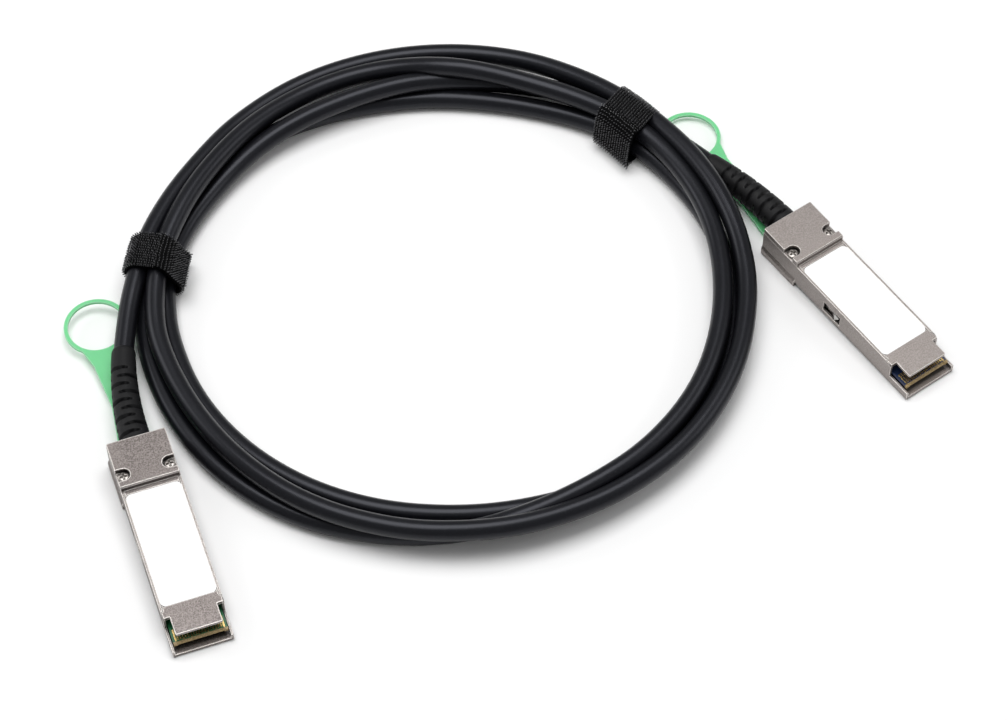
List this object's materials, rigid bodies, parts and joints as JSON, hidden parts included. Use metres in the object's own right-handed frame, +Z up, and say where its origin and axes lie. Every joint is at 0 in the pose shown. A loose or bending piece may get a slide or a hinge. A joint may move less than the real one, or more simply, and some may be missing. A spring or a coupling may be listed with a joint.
{
  "type": "direct attach copper cable",
  "caption": "Wound copper network cable with a pluggable metal connector on each end, slotted boots, pull-to-release tabs and two hook-and-loop straps.",
  "frame": {"origin": "centre of the object's outline as it lies, on the surface it lies on (the loose cable isn't counted)", "axes": "+X to the right of the pictured view, along the longest extent; +Y away from the viewer; +Z up, across the shortest extent"},
  "size_m": [0.2724, 0.223, 0.0154],
  "materials": {
    "nickel_dark": "satin nickel plate, warm grey",
    "nickel_light": "satin nickel plate, light warm grey",
    "label_white": "blank white sticker",
    "screw_steel": "plated steel",
    "card_green": "green solder mask",
    "card_blue": "dark blue solder mask",
    "gold_contact": "gold plate",
    "black_component": "moulded package",
    "wire_foil": "foil-wrapped pairs",
    "ferrule_metal": "crimped metal",
    "cable_black": "satin black jacket",
    "boot_rubber": "matte black moulding",
    "stainless": "stamped stainless steel",
    "tab_green": "bright green flexible moulding",
    "strap_black": "black hook-and-loop tape"
  },
  "bodies": {
    "cable_assembly": {"base_shell_a": "nickel_dark", "top_cover_a": "nickel_dark", "label_a": "label_white", "paddle_card_a": "card_green", "card_contacts_a": "gold_contact", "card_components_a": "black_component", "inner_wires_a": "wire_foil", "crimp_ferrule_a": "ferrule_metal", "latch_springs_a": "stainless", "boot_a": "boot_rubber", "cable_end_a": "cable_black", "base_shell_b": "nickel_light", "top_cover_b": "nickel_light", "label_b": "label_white", "paddle_card_b": "card_blue", "card_contacts_b": "gold_contact", "card_components_b": "black_component", "inner_wires_b": "wire_foil", "crimp_ferrule_b": "ferrule_metal", "latch_springs_b": "stainless", "boot_b": "boot_rubber", "cable_end_b": "cable_black", "cover_screws": "screw_steel", "cable_tail_a": "cable_black", "cable_tail_b": "cable_black", "cable_coil": "cable_black", "strap_left": "strap_black", "strap_right": "strap_black"},
    "release_a": {"latch_slider_a": "stainless", "pull_tab_a": "tab_green"},
    "release_b": {"latch_slider_b": "stainless", "pull_tab_b": "tab_green"}
  },
  "joints": [
    {"name": "latch_pull_a", "type": "slide", "parent": "cable_assembly", "child": "release_a", "axis": [-0.3081, 0.9511, 0.0204], "range_m": [0, 0.003], "stiffness_N_per_m": 1500, "springref_m": -0.001, "deforming": ["latch_springs_a"]},
    {"name": "latch_pull_b", "type": "slide", "parent": "cable_assembly", "child": "release_b", "axis": [-0.562, 0.8269, 0.0204], "range_m": [0, 0.003], "stiffness_N_per_m": 1500, "springref_m": -0.001, "deforming": ["latch_springs_b"]}
  ]
}
